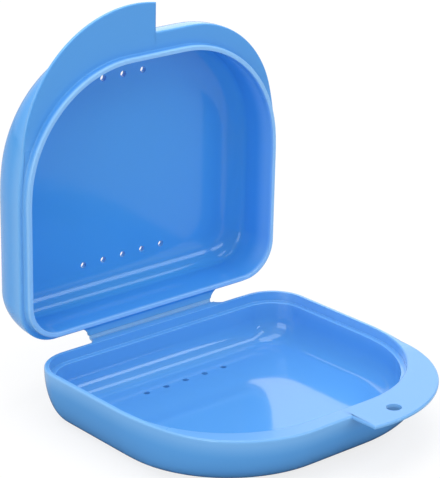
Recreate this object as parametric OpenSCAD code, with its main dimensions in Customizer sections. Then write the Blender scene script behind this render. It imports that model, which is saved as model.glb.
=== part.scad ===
// Denture case: a rounded tray and a matching lid, moulded with a thin web that folds between them.
// The origin is on the tray's flat underside, below the middle of the rim. The front, with the tabs, is -Y.

/* [Rim outline] */
// Width of the case across its rim
case_w = 77.7; // [72:0.1:84]
// Depth of the case from the front of its rim to the rear
case_d = 70.8; // [66:0.1:76]
// Length of the straight part of each side, measured from the rear of the rim
straight_side = 33.7; // [30:0.1:36]
// Radius of the slow bow that each side takes towards the front
side_bow_r = 67.4; // [62:0.1:76]
// Radius of the two front corners
front_corner_r = 26.4; // [23:0.1:29]
// Radius of the two rear corners
rear_corner_r = 10; // [8:0.1:13]

/* [Halves] */
// Depth of the tray, and of the lid, from the rim to the outer face
half_h = 13.3; // [12:0.1:18]
// Thickness of the tray's floor and of the lid's roof
floor_t = 1.3; // [1:0.1:2]
// Height of the upright band below each rim
band_h = 1; // [1:0.1:2]
// How far the sides and the rear curve in below the band
belly_side = 5.2; // [3:0.1:6.5]
// How far the front curves in below the band
belly_front = 11; // [7:0.1:12.5]
// Height of the round between the inner walls and the floor
round_h = 6; // [4:0.1:7]
// How far that round reaches in at the sides and the rear
round_side = 4.5; // [3:0.1:6]
// How far that round reaches in at the front
round_front = 6.2; // [4:0.1:6.8]

/* [Rim and lip] */
// Width of the tray's flat rim at the sides and the rear
rim_w = 1.1; // [0.9:0.1:2]
// Width of the tray's flat rim at the front
rim_front_w = 4.3; // [3:0.1:6]
// Width of the ledge inside the tray, on which the lid's lip comes down
ledge_w = 1.3; // [1:0.1:2]
// Depth of that ledge below the rim
ledge_h = 2.4; // [2:0.1:4]
// Clearance round the lip
lip_gap = 0.12; // [0.08:0.01:0.3]
// Clearance between the lip's end and the ledge, with the case shut
lip_end_gap = 0.6; // [0.3:0.1:1]
// Clearance between the two rims, with the case shut
seam_gap = 0.2; // [0.1:0.05:0.4]

/* [Pull tabs] */
// Thickness of each pull tab
tab_t = 0.85; // [0.7:0.05:1]
// How far each tab stands out from the front of the rim
tab_reach = 7.75; // [6:0.05:10]
// Radius of a tab's round outer edge
tab_r = 32; // [28:0.1:34]
// Distance of that edge's centre from the middle of the case
tab_offset = 5.4; // [4:0.1:6]
// How far each tab reaches past the middle of the case
tab_past_middle = 0.6; // [0.2:0.1:3]
// Diameter of the lanyard hole
lanyard_d = 3.5; // [2.5:0.1:4]
// Distance of the lanyard hole from the middle of the case
lanyard_x = 9.5; // [6:0.1:14]
// Distance of the lanyard hole's centre from the front of the rim
lanyard_out = 2.6; // [2.3:0.1:3.2]

/* [Vents] */
// Diameter of each vent hole
vent_d = 1.5; // [1:0.1:2.5]
// Distance from one vent hole to the next
vent_pitch = 6; // [4:0.1:7]
// Number of vent holes in the rear row
rear_vents = 5; // [1:1:7]
// Number of vent holes in the front row
front_vents = 3; // [1:1:5]
// Distance of the rear row from the rear of the rim
rear_vent_in = 10.8; // [8.5:0.1:16]
// Distance of the front row from the front of the rim
front_vent_in = 13.1; // [12.5:0.1:20]

/* [Hinge] */
// Distance of the hinge axis behind the rim
hinge_reach = 2.3; // [2:0.1:4]
// Width of the folding web
hinge_w = 38; // [24:0.1:46]
// How much each end of a hinge leaf widens towards its wall
hinge_flare = 1.5; // [0:0.1:3]
// Thickness of each hinge leaf
leaf_t = 1; // [0.6:0.1:1]
// Diameter of the rounded web on the hinge axis
web_d = 0.8; // [0.6:0.05:0.9]
// Thickness of the neck that joins the web to the tray's leaf
neck_t = 0.3; // [0.2:0.05:0.4]
// Length of that neck, from the hinge axis
neck_l = 0.7; // [0.6:0.05:1]
// Clearance between the web and the lid's leaf
web_gap = 0.15; // [0.1:0.05:0.3]

/* [Pose] */
// How far the lid stands open, in degrees from shut
lid_open = 87.7; // [0:0.1:179]

/* [Hidden] */

// Where the rim's front and rear edges and the hinge axis lie
front_y = -case_d / 2;
rear_y = case_d / 2;
hinge_y = rear_y + hinge_reach;
hinge_z = half_h + seam_gap / 2;

// How far the inner walls stand in from the rim's outline
wall_side = rim_w + ledge_w;
wall_front = rim_front_w + ledge_w;
lip_h = ledge_h + seam_gap - lip_end_gap;

// How the corners ease as an outline is drawn in: growth of a front corner's radius for each millimetre
// that the front comes in more than the sides, and shrinkage of a rear corner's radius for each millimetre
front_corner_ease = 1.43;
rear_corner_ease = 0.7;
least_rear_r = 2.5;

// Least distance that the bow's centre keeps behind the front corner's, so that the bow never folds back
least_bow = 2;

// Number of steps in each curve
corner_steps = 12;
bow_steps = 5;
rear_steps = 7;
belly_steps = 9;
round_steps = 8;

// Length that reaches past any face it has to cut through
past = 1;

tray_colour = [0.37, 0.65, 0.95];
lid_colour = [0.33, 0.60, 0.92];
web_colour = [0.28, 0.54, 0.86];

// Points of an arc, from one angle to another
function arc_points(x, y, r, from, to, steps) =
    [for (i = [0 : steps]) let (a = from + (to - from) * i / steps) [x + r * cos(a), y + r * sin(a)]];

// Right half of the case's outline, drawn in from the rim by side at the sides and the rear, and by front
// at the front. The front corner is tangent to the front edge and to the side's bow.
function right_outline(side, front) =
    let (
        corner_r = front_corner_r - side + front_corner_ease * (front - side),
        rear_r = max(rear_corner_r - rear_corner_ease * side, least_rear_r),
        corner_y = front_y + front + corner_r,
        bow_r = side_bow_r - side,
        bow_x = case_w / 2 - side_bow_r,
        bow_y = max(rear_y - straight_side, corner_y + least_bow),
        corner_x = bow_x + sqrt(pow(bow_r - corner_r, 2) - pow(corner_y - bow_y, 2)),
        meet = atan2(corner_y - bow_y, corner_x - bow_x),
        bow = arc_points(bow_x, bow_y, bow_r, meet, 0, bow_steps)
    )
    concat(
        arc_points(corner_x, corner_y, corner_r, -90, meet, corner_steps),
        [for (i = [1 : bow_steps]) bow[i]],
        arc_points(case_w / 2 - side - rear_r, rear_y - side - rear_r, rear_r, 0, 90, rear_steps)
    );

// The whole outline, anticlockwise from the front
function outline(side, front) =
    let (right = right_outline(side, front), last = len(right) - 1)
    concat(right, [for (i = [last : -1 : 0]) [-right[i][0], right[i][1]]]);

// A ring of points from [how far it comes in at the sides, how far at the front, its height]
function ring(v) = [for (p = outline(v[0], v[1])) [p[0], p[1], v[2]]];

// The belly's quarter curve, from the band at step 0 down to the outer face at the last step
function belly(i) =
    let (a = 90 * i / belly_steps, inwards = 1 - cos(a))
    [belly_side * inwards, belly_front * inwards, (half_h - band_h) * (1 - sin(a))];

// The round inside, from the upright wall at step 0 down to the floor at the last step
function inner_round(i) =
    let (a = 90 * i / round_steps, inwards = 1 - cos(a))
    [wall_side + round_side * inwards, wall_front + round_front * inwards, floor_t + round_h * (1 - sin(a))];

// A curve's last step drawn on past its end, so that a flat face can cut it off there
function drawn_on(before, last) = 2 * last - before;

// Outer skin, from the outer face to past the rim
outer_rings = [
    ring(drawn_on(belly(belly_steps - 1), belly(belly_steps))),
    for (i = [belly_steps - 1 : -1 : 0]) ring(belly(i)),
    ring([0, 0, half_h + past])
];

// Inner skin, from past the floor to the top of its round
inner_rings = [
    ring(drawn_on(inner_round(round_steps - 1), inner_round(round_steps))),
    for (i = [round_steps - 1 : -1 : 0]) ring(inner_round(i))
];

// From the round to past the rim: the tray's wall steps out at the ledge, and the lid's is plain
tray_opening_rings = [
    ring([wall_side, wall_front, half_h - ledge_h]),
    ring([rim_w, rim_front_w, half_h - ledge_h]),
    ring([rim_w, rim_front_w, half_h + past])
];
lid_opening_rings = [ring([wall_side, wall_front, half_h + past])];

// A closed solid through a run of rings, with its first and last rings filled in
module skin(rings) {
    n = len(rings[0]);
    last = len(rings) - 1;
    sides = [
        for (k = [0 : last - 1], i = [0 : n - 1])
            let (a = k * n + i, b = k * n + (i + 1) % n)
            each [[a, a + n, b], [b, a + n, b + n]]
    ];
    first_face = [for (i = [0 : n - 1]) i];
    last_face = [for (i = [n - 1 : -1 : 0]) last * n + i];
    polyhedron([for (r = rings) each r], concat([first_face], sides, [last_face]), convexity = 6);
}

// Everything between two heights
module layer(bottom, top) {
    translate([-case_w, -case_d, bottom])
        cube([2 * case_w, 2 * case_d, top - bottom]);
}

// One straight row of vent holes through a floor
module vent_row(count, y) {
    for (i = [0 : count - 1])
        translate([(i - (count - 1) / 2) * vent_pitch, y, -past])
            cylinder(d = vent_d, h = floor_t + round_h + 2 * past, $fn = 24);
}

// A tray or a lid, lying with its rim up
module half_shell(opening_rings) {
    difference() {
        intersection() {
            skin(outer_rings);
            layer(0, half_h);
        }
        intersection() {
            skin(concat(inner_rings, opening_rings));
            layer(floor_t, half_h + 3 * past);
        }
        vent_row(rear_vents, rear_y - rear_vent_in);
        vent_row(front_vents, front_y + front_vent_in);
    }
}

// A pull tab beside the rim, flush with it, on the right of the case
module tab_plate() {
    translate([0, 0, half_h - tab_t])
        linear_extrude(tab_t)
            difference() {
                translate([tab_offset, front_y - tab_reach + tab_r])
                    circle(r = tab_r, $fn = 128);
                translate([-tab_past_middle - 2 * tab_r, front_y - 2 * tab_r])
                    square([2 * tab_r, 4 * tab_r]);
                polygon(outline(0, 0));
            }
}

// A hinge leaf behind the rim, flush with it, that ends before the hinge axis by end
module leaf_plate(end) {
    wall_x = hinge_w / 2 + hinge_flare;
    translate([0, 0, half_h - leaf_t])
        linear_extrude(leaf_t)
            polygon([
                [-wall_x, rear_y], [wall_x, rear_y],
                [hinge_w / 2, hinge_y - end], [-hinge_w / 2, hinge_y - end]
            ]);
}

// Turns a piece that lies with its rim up into a piece of the open lid
module as_lid() {
    translate([0, hinge_y, hinge_z])
        rotate([-lid_open, 0, 0])
            mirror([0, 0, 1])
                translate([0, -hinge_y, -hinge_z])
                    children();
}

module base_tray() {
    color(tray_colour)
        half_shell(tray_opening_rings);
}

module base_pull_tab() {
    color(tray_colour)
        difference() {
            tab_plate();
            translate([lanyard_x, front_y - lanyard_out, half_h - tab_t - past])
                cylinder(d = lanyard_d, h = tab_t + 2 * past, $fn = 48);
        }
}

module base_hinge_leaf() {
    color(tray_colour)
        leaf_plate(neck_l);
}

module hinge_web() {
    color(web_colour) {
        translate([-hinge_w / 2, hinge_y, hinge_z])
            rotate([0, 90, 0])
                cylinder(d = web_d, h = hinge_w, $fn = 32);
        translate([-hinge_w / 2, hinge_y - neck_l, half_h - neck_t])
            cube([hinge_w, neck_l, neck_t]);
    }
}

module lid_shell() {
    color(lid_colour)
        as_lid()
            half_shell(lid_opening_rings);
}

module lid_locating_lip() {
    color(lid_colour)
        as_lid()
            translate([0, 0, half_h])
                linear_extrude(lip_h)
                    difference() {
                        polygon(outline(rim_w + lip_gap, rim_front_w + lip_gap));
                        polygon(outline(wall_side, wall_front));
                    }
}

module lid_hinge_leaf() {
    color(lid_colour)
        as_lid()
            leaf_plate(web_d / 2 + web_gap);
}

module lid_pull_tab() {
    color(lid_colour)
        as_lid()
            mirror([1, 0, 0])
                tab_plate();
}

base_tray();
base_pull_tab();
base_hinge_leaf();
hinge_web();
lid_shell();
lid_locating_lip();
lid_hinge_leaf();
lid_pull_tab();
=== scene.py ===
import math

import bpy
import numpy as np
from mathutils import Matrix, Vector


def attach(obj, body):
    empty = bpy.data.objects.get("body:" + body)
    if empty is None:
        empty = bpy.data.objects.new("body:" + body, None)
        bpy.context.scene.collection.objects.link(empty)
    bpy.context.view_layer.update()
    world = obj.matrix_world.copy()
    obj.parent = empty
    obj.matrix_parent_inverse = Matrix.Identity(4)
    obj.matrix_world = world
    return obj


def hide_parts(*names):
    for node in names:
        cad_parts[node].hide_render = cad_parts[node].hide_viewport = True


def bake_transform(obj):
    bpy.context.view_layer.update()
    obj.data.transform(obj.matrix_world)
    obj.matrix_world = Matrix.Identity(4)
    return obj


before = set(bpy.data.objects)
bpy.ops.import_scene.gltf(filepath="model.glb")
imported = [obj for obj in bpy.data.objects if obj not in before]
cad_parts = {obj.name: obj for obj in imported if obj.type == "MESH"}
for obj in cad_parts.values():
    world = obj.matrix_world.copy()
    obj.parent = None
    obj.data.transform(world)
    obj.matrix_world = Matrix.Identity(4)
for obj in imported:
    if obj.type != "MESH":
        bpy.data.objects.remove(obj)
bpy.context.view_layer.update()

# Tray
# The lower half of the moulding: a shallow bowl on a flat underside, with a flat rim, a ledge inside that
# takes the lid's lip, a thin pull tab in front and a leaf behind. Every edge comes rounded from the mould.
mm = 0.001
case_w = 77.7
case_d = 70.8
front_y = -case_d / 2
rear_y = case_d / 2
straight_side = 33.7
side_bow_r = 67.4
front_corner_r = 26.4
rear_corner_r = 10
front_corner_ease = 1.43
rear_corner_ease = 0.7
least_bow = 2

half_h = 13.3
floor_t = 1.3
band_h = 1
belly_side = 5.2
belly_front = 11
tray_round = {"side": 4.5, "front": 6.2, "high": 6}
rim_w = 1.1
rim_front_w = 4.3
ledge_w = 1.3
ledge_h = 2.4
wall_side = rim_w + ledge_w
wall_front = rim_front_w + ledge_w

tab_t = 0.85
tab_reach = 7.74
tab_r = 32
tab_middle = (5.4, front_y - tab_reach + tab_r)
tab_end_x = -0.6
hinge_reach = 2.3
hinge_w = 38
hinge_flare = 1.5
leaf_t = 1
tray_leaf_gap = 0.7

outer_edge_r = 0.5
tab_edge_r = 0.38
under_edge_r = 0.22
inner_edge_r = 0.15
land_edge_r = 0.6
ledge_root_r = 0.15
ledge_edge_r = 0.25

straight_front_half = 11.03
tab_end_shares = (0.04, 0.93, 1)
leaf_end_flare = ((0, 0), (0.75, 0.25), (1.3, 0.6), (hinge_flare, 1))


def rim_columns():
    """Where the columns of a half stand: along the front edge and the rear edge as shares of the half
    edge, and along each arc as shares of its turn. The tab's end and the leaf's ends have columns of
    their own, close together."""
    tab_end = tab_end_x / straight_front_half
    front = [-1, -0.8, -0.6, -0.4, -0.2, -0.1, tab_end]
    front += [tab_end + beside / straight_front_half for beside in (0.08, 0.16, 0.3, 0.8)]
    front += list(np.linspace(0.1, 1, 12))
    rear_half = case_w / 2 - rear_corner_r
    leaf_end = (hinge_w / 2 + hinge_flare) / rear_half
    half = [1, 0.93, 0.82]
    half += [leaf_end - beside for beside in (0, 0.012, 0.024, 0.04, 0.08)]
    half += [0.5, 0.25]
    rear = half + [0] + [-share for share in reversed(half)]
    return {
        "front": np.array(front),
        "corner": np.linspace(0, 1, 41)[1:],
        "bow": np.linspace(0, 1, 15)[1:],
        "side": np.array([0.33, 0.67]),
        "rear corner": np.linspace(0, 1, 21),
        "rear": np.array(rear)[1:-1],
    }


columns = rim_columns()


def arc(x, y, r, first, last, shares):
    """Points on an arc about a centre, at shares of its turn from the first angle to the last."""
    angle = first + (last - first) * np.asarray(shares)
    return np.column_stack([x + r * np.cos(angle), y + r * np.sin(angle)])


def right_side(side, front):
    """The right flank of an outline drawn in by side and, at the front, by front: front corner, slow bow,
    straight side and rear corner, from the front edge to the rear edge."""
    corner_r = front_corner_r - side + front_corner_ease * (front - side)
    rear_r = rear_corner_r - rear_corner_ease * side
    corner_y = front_y + front + corner_r
    bow_r = side_bow_r - side
    bow_x = case_w / 2 - side_bow_r
    bow_y = max(rear_y - straight_side, corner_y + least_bow)
    corner_x = bow_x + math.sqrt((bow_r - corner_r) ** 2 - (corner_y - bow_y) ** 2)
    meet = math.atan2(corner_y - bow_y, corner_x - bow_x)
    side_x = case_w / 2 - side
    rear_start = rear_y - side - rear_r
    straight = bow_y + (rear_start - bow_y) * columns["side"]
    return corner_x, np.vstack([
        arc(corner_x, corner_y, corner_r, -math.pi / 2, meet, columns["corner"]),
        arc(bow_x, bow_y, bow_r, meet, 0, columns["bow"]),
        np.column_stack([np.full(len(straight), side_x), straight]),
        arc(side_x - rear_r, rear_start, rear_r, 0, math.pi / 2, columns["rear corner"]),
    ])


def outline(side, front):
    """The whole outline, anticlockwise, from the left end of the front edge."""
    front_half, right = right_side(side, front)
    rear_half = right[-1][0]
    left = right[::-1] * [-1, 1]
    front_edge = [(share * front_half, front_y + front) for share in columns["front"]]
    rear_edge = [(share * rear_half, rear_y - side) for share in columns["rear"]]
    return np.vstack([front_edge, right, rear_edge, left[:-1]])


def drawn_in(points, distance):
    """A closed outline moved inwards by a distance, or by one distance for each point."""
    ahead = np.roll(points, -1, axis=0) - points
    inward = np.column_stack([-ahead[:, 1], ahead[:, 0]])
    inward /= np.linalg.norm(inward, axis=1)[:, None]
    before = np.roll(inward, 1, axis=0)
    mitre = (inward + before) / (1 + (inward * before).sum(axis=1))[:, None]
    return points + mitre * np.reshape(distance, (-1, 1))


def rim_with_tab(leaf_gap):
    """The rim's plain outline, and the same with the tab and the leaf standing out of it, column by
    column. The leaf stops short of the hinge line by leaf_gap."""
    plain = outline(0, 0)
    reach = plain.copy()
    ahead = np.roll(plain, -1, axis=0) - np.roll(plain, 1, axis=0)
    outward = np.column_stack([ahead[:, 1], -ahead[:, 0]])
    outward /= np.linalg.norm(outward, axis=1)[:, None]
    count_front = len(columns["front"])
    outward[:count_front] = (0, -1)
    first = int(np.argmin(abs(plain[:count_front, 0] - tab_end_x)))
    from_middle = plain - tab_middle
    along = (from_middle * outward).sum(axis=1)
    inside = along ** 2 - (from_middle ** 2).sum(axis=1) + tab_r ** 2
    stand_out = np.where(inside > 0, np.sqrt(np.maximum(inside, 0)) - along, 0)
    after_end = first + 1 + len(tab_end_shares)
    on_tab = np.arange(len(plain)) >= after_end
    on_tab &= (plain[:, 1] < rear_y - straight_side) & (plain[:, 0] > tab_end_x) & (stand_out > 0)
    last = after_end + int(np.argmin(on_tab[after_end:]))
    on_tab &= np.arange(len(plain)) < last
    reach[on_tab] += outward[on_tab] * stand_out[on_tab][:, None]
    tip_y = tab_middle[1] - math.sqrt(tab_r ** 2 - (tab_end_x - tab_middle[0]) ** 2)
    for step, share in enumerate(tab_end_shares):
        reach[first + 1 + step] = (tab_end_x, front_y + share * (tip_y - front_y))

    wide = hinge_w / 2 + hinge_flare
    hair = 0.01
    on_rear = np.where((plain[:, 1] > rear_y - hair) & (abs(plain[:, 0]) < wide + hair))[0]
    leaf_y = rear_y + hinge_reach - leaf_gap
    last_bend = leaf_end_flare[-2][0]
    squeeze = hinge_w / 2 / (wide - last_bend)
    widest_inside = hinge_w / 2 - 0.6
    for place, column in enumerate(on_rear):
        from_end = min(place, len(on_rear) - 1 - place)
        if from_end < len(leaf_end_flare):
            in_by, share = leaf_end_flare[from_end]
            x = wide - in_by
        else:
            share = 1
            x = min(abs(plain[column, 0]) * squeeze, widest_inside)
        reach[column] = (math.copysign(x, plain[column, 0]), rear_y + share * (leaf_y - rear_y))
    return plain, reach


def quarter(radius, steps=5):
    """A rounded edge over a quarter turn, as pairs of how far it has come across and how far up."""
    turn = np.linspace(0, math.pi / 2, steps + 1)
    return [(radius * (1 - math.cos(a)), radius * math.sin(a)) for a in turn]


def half_rows(opening, front_opening, inner_round, leaf_gap):
    """The rings of one half, from its flat outer face up the belly, over the rim and down to the floor.
    The opening is given as it is at the sides and as it is in front, where the land is wide."""
    rows = []

    def add(points, z):
        rows.append(np.column_stack([points, np.broadcast_to(z, len(points))]))

    belly_steps = 24
    for step in range(belly_steps, 0, -1):
        turn = math.pi / 2 * step / belly_steps
        inwards = 1 - math.cos(turn)
        add(outline(belly_side * inwards, belly_front * inwards), (half_h - band_h) * (1 - math.sin(turn)))

    plain, reach = rim_with_tab(leaf_gap)
    rearness = np.clip(plain[:, 1] / rear_y, 0, 1)
    under_z = half_h - tab_t - (leaf_t - tab_t) * rearness
    proud = np.linalg.norm(reach - plain, axis=1)
    standing_out = np.clip(proud / (2 * under_edge_r), 0, 1)
    under_r = under_edge_r * standing_out
    top_r = outer_edge_r + (tab_edge_r - outer_edge_r) * standing_out
    lower_when_plain = 0.12
    under_z = under_z - lower_when_plain * (1 - standing_out)
    ring_gap = 0.05
    add(plain, under_z - ring_gap)
    for across, up in quarter(1):
        add(drawn_in(reach, under_r * (1 - up)), under_z + under_edge_r * across)
    for across, up in quarter(1):
        add(drawn_in(reach, top_r * across), half_h - top_r * (1 - up))
    land_w = np.linalg.norm(outline(rim_w, rim_front_w) - plain, axis=1)
    landed = np.clip((land_w - rim_w) / (rim_front_w - rim_w), 0, 1)
    for (in_by, z), (front_in_by, front_z) in zip(opening, front_opening):
        add(outline(rim_w + in_by, rim_front_w + front_in_by), z + (front_z - z) * landed)

    round_steps = 20
    for step in range(round_steps + 1):
        turn = math.pi / 2 * step / round_steps
        inwards = 1 - math.cos(turn)
        add(
            outline(wall_side + inner_round["side"] * inwards, wall_front + inner_round["front"] * inwards),
            floor_t + inner_round["high"] * (1 - math.sin(turn)),
        )
    return np.array(rows)


def skinned(name, rows):
    """A closed skin over the rings, with flat faces across the first and the last."""
    count, around, _ = rows.shape
    number = np.arange(count * around).reshape(count, around)
    quads = np.stack([
        number[:-1], np.roll(number[:-1], -1, axis=1), np.roll(number[1:], -1, axis=1), number[1:],
    ], axis=-1).reshape(-1, 4)
    faces = quads.tolist() + [number[0][::-1].tolist(), number[-1].tolist()]
    mesh = bpy.data.meshes.new(name)
    mesh.from_pydata(rows.reshape(-1, 3).tolist(), [], faces)
    mesh.validate()
    piece = bpy.data.objects.new(name, mesh)
    bpy.context.scene.collection.objects.link(piece)
    return piece


def punch(name, hole_r, edge_r, bottom, top):
    """A round punch through a wall from bottom to top, flared where it enters and leaves, so that the
    hole's edges come out rounded."""
    reach_past = 0.5
    sides = 48
    profile = [(hole_r + edge_r, bottom - reach_past)]
    profile += [(hole_r + edge_r * (1 - math.sin(a)), bottom + edge_r * (1 - math.cos(a)))
                for a in np.linspace(0, math.pi / 2, 5)]
    profile += [(r, bottom + top - z) for r, z in reversed(profile)]
    turn = 2 * math.pi * np.arange(sides) / sides
    rows = [np.column_stack([r * np.cos(turn), r * np.sin(turn), np.full(sides, z)]) for r, z in profile]
    return skinned(name, np.array(rows))


def row_of_holes_tree():
    """Sets punches in a straight row: how many, how far apart, and where the row's middle is."""
    tree = bpy.data.node_groups.new("row of holes", "GeometryNodeTree")
    face = tree.interface
    face.new_socket("Geometry", in_out="OUTPUT", socket_type="NodeSocketGeometry")
    for label, kind in (
        ("Punch", "NodeSocketObject"), ("Holes", "NodeSocketInt"), ("Pitch", "NodeSocketFloat"),
        ("Row middle", "NodeSocketVector"), ("Finish", "NodeSocketMaterial"),
    ):
        face.new_socket(label, in_out="INPUT", socket_type=kind)
    new, link = tree.nodes.new, tree.links.new
    given = new("NodeGroupInput")
    out = new("NodeGroupOutput")
    line = new("GeometryNodeMeshLine")
    spread = new("ShaderNodeCombineXYZ")
    shape = new("GeometryNodeObjectInfo")
    place = new("GeometryNodeInstanceOnPoints")
    real = new("GeometryNodeRealizeInstances")
    finish = new("GeometryNodeSetMaterial")
    span = new("ShaderNodeMath")
    span.operation = "SUBTRACT"
    span.inputs[1].default_value = 1
    shrink = new("ShaderNodeMath")
    shrink.operation = "MULTIPLY"
    shrink.inputs[1].default_value = 0.5
    half = new("ShaderNodeVectorMath")
    half.operation = "SCALE"
    start = new("ShaderNodeVectorMath")
    start.operation = "SUBTRACT"
    link(given.outputs["Holes"], line.inputs["Count"])
    link(given.outputs["Pitch"], spread.inputs["X"])
    link(spread.outputs[0], line.inputs["Offset"])
    link(given.outputs["Holes"], span.inputs[0])
    link(span.outputs[0], shrink.inputs[0])
    link(spread.outputs[0], half.inputs[0])
    link(shrink.outputs[0], half.inputs["Scale"])
    link(given.outputs["Row middle"], start.inputs[0])
    link(half.outputs[0], start.inputs[1])
    link(start.outputs[0], line.inputs["Start Location"])
    link(given.outputs["Punch"], shape.inputs["Object"])
    link(line.outputs["Mesh"], place.inputs["Points"])
    link(shape.outputs["Geometry"], place.inputs["Instance"])
    link(place.outputs["Instances"], real.inputs["Geometry"])
    link(real.outputs["Geometry"], finish.inputs["Geometry"])
    link(given.outputs["Finish"], finish.inputs["Material"])
    link(finish.outputs["Geometry"], out.inputs["Geometry"])
    return tree


hole_row = row_of_holes_tree()


def settled(piece):
    """Makes a piece's modifiers part of its mesh."""
    bpy.context.view_layer.update()
    graph = bpy.context.evaluated_depsgraph_get()
    made = bpy.data.meshes.new_from_object(piece.evaluated_get(graph))
    piece.modifiers.clear()
    piece.data = made
    return piece


def row_of_holes(name, tool, holes, pitch, middle, finish):
    """One row of punches as a mesh of its own."""
    row = bpy.data.objects.new(name, bpy.data.meshes.new(name))
    bpy.context.scene.collection.objects.link(row)
    modifier = row.modifiers.new("row", "NODES")
    modifier.node_group = hole_row
    wanted = {"Punch": tool, "Holes": holes, "Pitch": pitch, "Row middle": middle, "Finish": finish}
    for item in hole_row.interface.items_tree:
        if item.in_out == "INPUT":
            modifier[item.identifier] = wanted[item.name]
    return settled(row)


def punched(piece, tools):
    """Cuts the punches out of a piece and clears them away."""
    for tool in tools:
        cut = piece.modifiers.new("cut", "BOOLEAN")
        cut.operation = "DIFFERENCE"
        cut.solver = "EXACT"
        cut.object = tool
    settled(piece)
    for tool in tools:
        bpy.data.objects.remove(tool)
    return piece


def polished(piece, finish, place=Matrix.Identity(4)):
    """Turns the drawn millimetres into metres in the piece's place, and shades it round over its rounded
    edges and flat over its flat faces."""
    piece.data.transform(place @ Matrix.Scale(mm, 4))
    piece.data.materials.clear()
    piece.data.materials.append(finish)
    piece.data.shade_smooth()
    sharpest_smooth = 40
    piece.data.set_sharp_from_angle(angle=math.radians(sharpest_smooth))
    weighted = piece.modifiers.new("flat faces stay flat", "WEIGHTED_NORMAL")
    weighted.keep_sharp = True
    return settled(piece)


class Tone:
    """A socket in a finish's node tree, so that sums of tones are written as sums."""

    def __init__(self, tree, socket=None):
        self.tree = tree
        self.socket = socket

    def node(self, kind, settings, sockets, output=0):
        made = self.tree.nodes.new(kind)
        for name, value in settings.items():
            setattr(made, name, value)
        for name, value in sockets.items():
            if isinstance(value, Tone):
                self.tree.links.new(value.socket, made.inputs[name])
            else:
                made.inputs[name].default_value = value
        return Tone(self.tree, made.outputs[output])

    def sum_of(self, operation, first, second):
        return self.node("ShaderNodeMath", {"operation": operation}, {0: first, 1: second})

    def __add__(self, other):
        return self.sum_of("ADD", self, other)

    __radd__ = __add__

    def __mul__(self, other):
        return self.sum_of("MULTIPLY", self, other)

    __rmul__ = __mul__

    def __sub__(self, other):
        return self.sum_of("SUBTRACT", self, other)

    def __rsub__(self, other):
        return self.sum_of("SUBTRACT", other, self)


def rising(value, low, high):
    """A smooth rise from 0 to 1 as a tone goes from low to high."""
    smooth = {"interpolation_type": "SMOOTHSTEP"}
    return value.node("ShaderNodeMapRange", smooth, {"Value": value, "From Min": low, "From Max": high})


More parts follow.
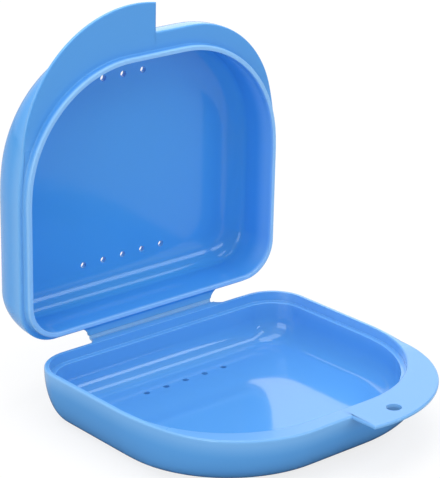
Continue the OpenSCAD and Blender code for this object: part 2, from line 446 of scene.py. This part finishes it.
def moulded_plastic(name, deep, pale, edge, painted_sheen, painted_leaf_light, gloss, coat, place=Matrix.Identity(4)):
    """Polypropylene from a polished mould: a slight flow marbling in the blue, a faint unevenness of the
    skin and fine rubbing that dulls it here and there. The upper walls and rim, all but at the rear, are
    painted paler for the light that falls on them and shines through, the lip's crest for the light it
    catches from above, and the leaf to make up for the shade it sits in: all painted light. The reflections
    are tinted a little. The wide land and the tab in front, which are handled, are rubbed to a soft
    half-gloss, and their colour there is painted paler, a painted sheen. The pattern is laid out as the
    half is drawn, and place says where the half has gone since."""
    finish = bpy.data.materials.new(name)
    finish.use_nodes = True
    finish.diffuse_color = (*deep, 1)
    tree = finish.node_tree
    tree.nodes.clear()
    blank = Tone(tree)
    back = place.inverted()
    drawn = blank.node("ShaderNodeMapping", {}, {
        "Vector": blank.node("ShaderNodeTexCoord", {}, {}, "Object"),
        "Location": back.translation,
        "Rotation": back.to_euler(),
    })

    def noise(scale, detail, stretch=(1, 1, 1)):
        laid = blank.node("ShaderNodeMapping", {}, {"Vector": drawn, "Scale": stretch})
        return blank.node("ShaderNodeTexNoise", {}, {"Vector": laid, "Scale": scale, "Detail": detail}, 0)

    flow = noise(28, 2, (1, 0.4, 1))
    cloud = noise(90, 3)
    rubbing = noise(700, 4, (1, 0.15, 1))
    ripple = noise(160, 1)
    grain = noise(2600, 2)
    upwards = blank.node("ShaderNodeSeparateXYZ", {}, {0: drawn}, "Z")
    rearwards = blank.node("ShaderNodeSeparateXYZ", {}, {0: drawn}, "Y")
    forwards = 0 - rearwards
    # Painted light: the upper walls and rim, all but at the rear, paler for light that falls on them and
    # shines through.
    lit_edge = rising(upwards, 8.5 * mm, 13.1 * mm) * rising(forwards, -34 * mm, -28 * mm) * 0.5
    # The handled land and tab in front: rubbed to a rougher half-gloss, and a painted sheen that makes
    # their colour paler.
    satin_and_sheen = rising(upwards, (half_h - 0.25) * mm, (half_h - 0.05) * mm) * rising(forwards, 5 * mm, 20 * mm)
    # Painted light: the lip's crest paler for the light it catches from above.
    lit_crest = rising(upwards, (half_h + 0.8) * mm, (half_h + 1.8) * mm)
    # Painted light: the leaf is painted paler to make up for the shade it sits in.
    leaf = rising(rearwards, (rear_y - 0.1) * mm, (rear_y + 0.4) * mm)

    def tinted(share, first, second):
        sockets = {"Factor": share, "A": first, "B": (*second, 1)}
        return blank.node("ShaderNodeMix", {"data_type": "RGBA"}, sockets, 2)

    colour = tinted(flow * 0.7 + cloud * 0.3, (*deep, 1), pale)
    # Painted light, painted sheen and painted light on the leaf, laid over the marbled blue.
    for share, tint in ((lit_edge, edge), (satin_and_sheen, painted_sheen), (lit_crest, edge), (leaf, painted_leaf_light)):
        colour = tinted(share, colour, tint)
    skin = ripple * 0.85 + grain * 0.02
    bump = blank.node("ShaderNodeBump", {}, {"Strength": 0.12, "Distance": 0.2 * mm, "Height": skin})
    shader = blank.node("ShaderNodeBsdfPrincipled", {}, {
        "Base Color": colour,
        "Roughness": gloss + 0.05 * cloud + 0.06 * rubbing + 0.28 * satin_and_sheen,
        "Normal": bump,
        "IOR": 1.49,
        "Specular Tint": (0.8, 0.97, 1, 1),
        "Coat Weight": coat - coat * 0.4 * satin_and_sheen,
        "Coat Roughness": 0.03,
        "Coat IOR": 1.5,
    })
    out = tree.nodes.new("ShaderNodeOutputMaterial")
    tree.links.new(shader.socket, out.inputs["Surface"])
    return finish


# Painted light in the paler tones: the edge colour for light on the upper walls and rim, the sheen colour
# for a painted sheen on the handled tops, the leaf colour against the shade behind.
tray_blue = moulded_plastic(
    "tray plastic", deep=(0.108, 0.37, 0.81), pale=(0.118, 0.39, 0.83), edge=(0.29, 0.58, 0.95),
    painted_sheen=(0.145, 0.385, 0.79), painted_leaf_light=(0.12, 0.4, 0.8), gloss=0.03, coat=0.22,
)


def tray_opening(edge_r):
    """The rim's inner edge, the ledge's root and the ledge's edge, as pairs of how far in and how high."""
    ledge_z = half_h - ledge_h
    edge_x = ledge_w - ledge_edge_r
    steps = [(-edge_r + up, half_h - across) for across, up in quarter(edge_r)]
    steps += [(across, ledge_z + ledge_root_r - up) for across, up in quarter(ledge_root_r)]
    steps += [(edge_x + up, ledge_z - across) for across, up in quarter(ledge_edge_r)]
    return steps


side_opening = tray_opening(inner_edge_r)
front_opening = tray_opening(land_edge_r)
tray = skinned("tray", half_rows(side_opening, front_opening, tray_round, tray_leaf_gap))

vent_r = 0.75
vent_edge_r = 0.12
vent_pitch = 6
rear_row_y = rear_y - 10.8
rear_vents = 5
front_row_y = front_y + 13.1
front_vents = 3
lanyard_r = 1.75
lanyard_edge_r = 0.1
lanyard_at = (9.5, front_y - 2.6, 0)


def vents(name, finish):
    """Both rows of a half's vents, as punches."""
    tool = punch("vent punch", vent_r, vent_edge_r, 0, floor_t)
    rows = [
        row_of_holes(name + " rear row", tool, rear_vents, vent_pitch, (0, rear_row_y, 0), finish),
        row_of_holes(name + " front row", tool, front_vents, vent_pitch, (0, front_row_y, 0), finish),
    ]
    bpy.data.objects.remove(tool)
    return rows


lanyard_punch = punch("lanyard punch", lanyard_r, lanyard_edge_r, half_h - tab_t, half_h)
lanyard_punch.data.transform(Matrix.Translation(lanyard_at))
punched(tray, vents("tray", tray_blue) + [lanyard_punch])
polished(tray, tray_blue)
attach(tray, "base")
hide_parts("base_tray", "base_pull_tab", "base_hinge_leaf")

# Lid
# The upper half of the same moulding, turned over and folded up about the web. Its rim is flat, and a
# round lip stands up inside it that drops into the tray and holds the case shut. Its tab is on the other
# side, and it turns from wall to roof more gently than the tray.
lid_open = 87.7
lip_gap = 0.12
lip_h = 2
lip_root_r = 0.35
lip_lead_w = 0.4
lip_lead_h = 0.5
lip_crest_r = 0.2
lid_leaf_gap = 0.3
lid_round = {"side": 7.2, "front": 8, "high": 4.2}
seam_gap = 0.2
hinge_at = Vector((0, rear_y + hinge_reach, half_h + seam_gap / 2))

lip_top = half_h + lip_h
lead_z = lip_top - lip_lead_h
crest_x = ledge_w - lip_crest_r
lid_opening = [(lip_gap - lip_root_r + up, half_h + across) for across, up in quarter(lip_root_r)]
lid_opening += [(lip_gap + across * lip_lead_w, lead_z + up * lip_lead_h) for across, up in quarter(1, 8)]
lid_opening += [(crest_x + up, lip_top - across) for across, up in quarter(lip_crest_r)][1:]

turned_over = Matrix.Rotation(math.pi, 4, "Y")
folded_up = Matrix.Rotation(-math.radians(lid_open), 4, "X")
to_hinge = Matrix.Translation(hinge_at * mm)
lid_place = to_hinge @ folded_up @ turned_over @ to_hinge.inverted()

# Painted light in the paler tones: the edge colour for light on the upper walls, rim and lip's crest, the
# sheen colour for a painted sheen on the handled tops, the leaf colour against the shade at the hinge.
lid_blue = moulded_plastic(
    "lid plastic", deep=(0.064, 0.345, 0.83), pale=(0.074, 0.365, 0.85), edge=(0.27, 0.56, 0.95),
    painted_sheen=(0.09, 0.355, 0.81), painted_leaf_light=(0.16, 0.51, 0.93), gloss=0.06, coat=0.02, place=lid_place,
)
lid = skinned("lid", half_rows(lid_opening, lid_opening, lid_round, lid_leaf_gap))
punched(lid, vents("lid", lid_blue))
polished(lid, lid_blue, lid_place)
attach(lid, "lid")
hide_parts("lid_shell", "lid_locating_lip", "lid_hinge_leaf", "lid_pull_tab")

# Web
# The thin fold between the two leaves, moulded with them. It bends round the hinge line, and folding has
# drawn the plastic thin and paled it; its colour is also painted paler still, painted light that makes up
# for the shade in the fold.
web_t = 0.4
web_under = 0.65
web_behind = 0.45
web_bend_r = 0.4
web_short = 0.3
# The web's pale blue is partly whitening from folding and partly painted light against the shade of the
# fold.
web_blue = moulded_plastic(
    "web plastic", deep=(0.28, 0.59, 0.92), pale=(0.32, 0.63, 0.94), edge=(0.32, 0.63, 0.94),
    painted_sheen=(0.32, 0.63, 0.94), painted_leaf_light=(0.32, 0.63, 0.94), gloss=0.12, coat=0.1,
)


def web_piece():
    """A strip that runs from the tray's leaf round the hinge line to the lid's leaf."""
    under_z = hinge_at.z - web_under
    behind_y = hinge_at.y + web_behind
    path = [(hinge_at.y - before, under_z) for before in (0.95, 0.7, 0.35)]
    for turn in np.linspace(-math.pi / 2, 0, 7):
        bent_y = behind_y - web_bend_r * (1 - math.cos(turn))
        path.append((bent_y, under_z + web_bend_r * (1 + math.sin(turn))))
    path += [(behind_y, hinge_at.z + above) for above in (0.1, 0.35, 0.6)]
    path = np.array(path)
    ahead = np.gradient(path, axis=0)
    ahead /= np.linalg.norm(ahead, axis=1)[:, None]
    across = np.column_stack([-ahead[:, 1], ahead[:, 0]]) * web_t / 2
    loop = np.vstack([path + across, (path - across)[::-1]])
    half_w = hinge_w / 2 - web_short
    width = np.linspace(-half_w, half_w, 9)
    rows = [np.column_stack([np.full(len(loop), x), loop]) for x in width]
    return skinned("web", np.array(rows))


web = web_piece()
polished(web, web_blue)
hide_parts("hinge_web")
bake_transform(web)

# Floor and light
# A white table in a white room, under plain softboxes: a long one over the front, a large one overhead,
# and weaker ones at the left, behind and low in front. The insides of the case mirror a room that is
# darker to the front, and a table with a painted shadow in front on the left, where the case's shadow
# falls; only reflections see that painted shadow.
floor_mesh = bpy.data.meshes.new("floor")
reach_m = 3
below_case = 0.00005
floor_mesh.from_pydata(
    [(-reach_m, -reach_m, 0), (reach_m, -reach_m, 0), (reach_m, reach_m, 0), (-reach_m, reach_m, 0)],
    [], [(0, 1, 2, 3)],
)
floor_mesh.transform(Matrix.Translation((0, 0, -below_case)))
floor = bpy.data.objects.new("floor", floor_mesh)
bpy.context.scene.collection.objects.link(floor)
table_white = bpy.data.materials.new("table white")
table_white.use_nodes = True
tree = table_white.node_tree
tree.nodes.clear()
blank = Tone(tree)
seen = blank.node("ShaderNodeLightPath", {}, {}, "Is Camera Ray")
mirrored = blank.node("ShaderNodeLightPath", {}, {}, "Is Glossy Ray")
through = blank.node("ShaderNodeLightPath", {}, {}, "Is Transmission Ray")
spot = blank.node("ShaderNodeTexCoord", {}, {}, "Object")
across = blank.node("ShaderNodeSeparateXYZ", {}, {0: spot}, "X")
away = blank.node("ShaderNodeSeparateXYZ", {}, {0: spot}, "Y")
# Painted shadow: the table is painted darker in front on the left, where the case's shadow falls, and only
# reflections show it.
on_left = 1 - rising(across + away * 0.33, 0.012, 0.034)
in_front = 1 - rising(away, 0.03, 0.06)
mirrored_shadow = mirrored * on_left * in_front
plain_level = 0.55
level_change = 0.4
share_seen = 0.8
share_mirrored = 0.2
table_level = plain_level + level_change * seen - level_change * mirrored_shadow
matt = blank.node("ShaderNodeBsdfDiffuse", {}, {"Color": table_level})
bright = blank.node("ShaderNodeEmission", {}, {"Color": (1, 1, 1, 1), "Strength": 1})
lit_share = seen * share_seen + (mirrored + through - mirrored_shadow) * share_mirrored
look = blank.node("ShaderNodeMixShader", {}, {0: lit_share, 1: matt, 2: bright})
tree.links.new(look.socket, tree.nodes.new("ShaderNodeOutputMaterial").inputs["Surface"])
floor.data.materials.append(table_white)
table_white.cycles.emission_sampling = "NONE"

room = bpy.data.worlds.new("room")
bpy.context.scene.world = room
room.use_nodes = True
tree = room.node_tree
tree.nodes.clear()
blank = Tone(tree)
direction = blank.node("ShaderNodeTexCoord", {}, {}, "Generated")
behind = rising(blank.node("ShaderNodeSeparateXYZ", {}, {0: direction}, "Y"), -0.1, 0.4)
seen = blank.node("ShaderNodeLightPath", {}, {}, "Is Camera Ray")
mirrored = blank.node("ShaderNodeLightPath", {}, {}, "Is Glossy Ray")
through = blank.node("ShaderNodeLightPath", {}, {}, "Is Transmission Ray")
front_wall = 0.25
rear_wall = 0.9
room_level = 0.47
shown = seen + through + mirrored * (front_wall + (rear_wall - front_wall) * behind)
strength = shown + (1 - seen - through - mirrored) * room_level
sky = blank.node("ShaderNodeBackground", {}, {"Color": (1, 1, 1, 1), "Strength": strength})
tree.links.new(sky.socket, tree.nodes.new("ShaderNodeOutputWorld").inputs["Surface"])


aim_at = Vector((0, 0.02, 0.03))


def softbox(name, bearing, height, away, wide, tall, power):
    """A lamp with a flat front that faces the case. Its bearing is in degrees, 0 in front and 90 on the
    right, and so is its height above the table. It stands so many metres away."""
    lamp = bpy.data.lights.new(name, "AREA")
    lamp.shape = "RECTANGLE"
    lamp.size = wide
    lamp.size_y = tall
    lamp.energy = power
    holder = bpy.data.objects.new(name, lamp)
    bpy.context.scene.collection.objects.link(holder)
    round_case = Matrix.Rotation(math.radians(bearing), 4, "Z")
    tipped = Matrix.Rotation(math.radians(90 - height), 4, "X")
    drawn_back = Matrix.Translation((0, 0, away))
    holder.matrix_world = Matrix.Translation(aim_at) @ round_case @ tipped @ drawn_back


softbox("long softbox over the front", 36, 46, 0.9, 0.9, 0.18, 1.45)
softbox("softbox overhead", 180, 85, 1.1, 1.2, 1, 8.8)
softbox("softbox high on the left", -70, 42, 1, 0.9, 0.9, 1.1)
softbox("softbox behind", 138, 27, 0.95, 0.8, 0.8, 1.3)
softbox("low strip in front", 27, 12, 0.9, 0.6, 0.15, 1.05)
softbox("lamp on the left", -75, 12, 0.85, 0.5, 0.5, 1.85)

# Camera
# Low on the left in front, with a long lens, as the photograph was taken. The lens is given as the width
# of the picture and its focal length, both in pixels.
azimuth = math.radians(-39.433)
elevation = math.radians(20.13)
roll = math.radians(-0.283)
look_at = Vector((0.02187, 0.0377, 0.02908))
distance = 0.5037
picture_w = 440
focal_length = 2006.5
backwards = Vector((
    math.sin(azimuth) * math.cos(elevation), -math.cos(azimuth) * math.cos(elevation), math.sin(elevation),
))
level = Vector((math.cos(azimuth), math.sin(azimuth), 0))
upright = backwards.cross(level)
right = math.cos(roll) * level + math.sin(roll) * upright
up = math.cos(roll) * upright - math.sin(roll) * level
camera_data = bpy.data.cameras.new("camera")
camera_data.sensor_fit = "HORIZONTAL"
camera_data.sensor_width = 36
camera_data.lens = focal_length * camera_data.sensor_width / picture_w
camera_data.clip_start = 0.01
camera = bpy.data.objects.new("camera", camera_data)
bpy.context.scene.collection.objects.link(camera)
turn = Matrix((right, up, backwards)).transposed().to_4x4()
camera.matrix_world = Matrix.Translation(look_at + backwards * distance) @ turn
bpy.context.scene.camera = camera
bpy.context.scene.view_settings.view_transform = "Standard"
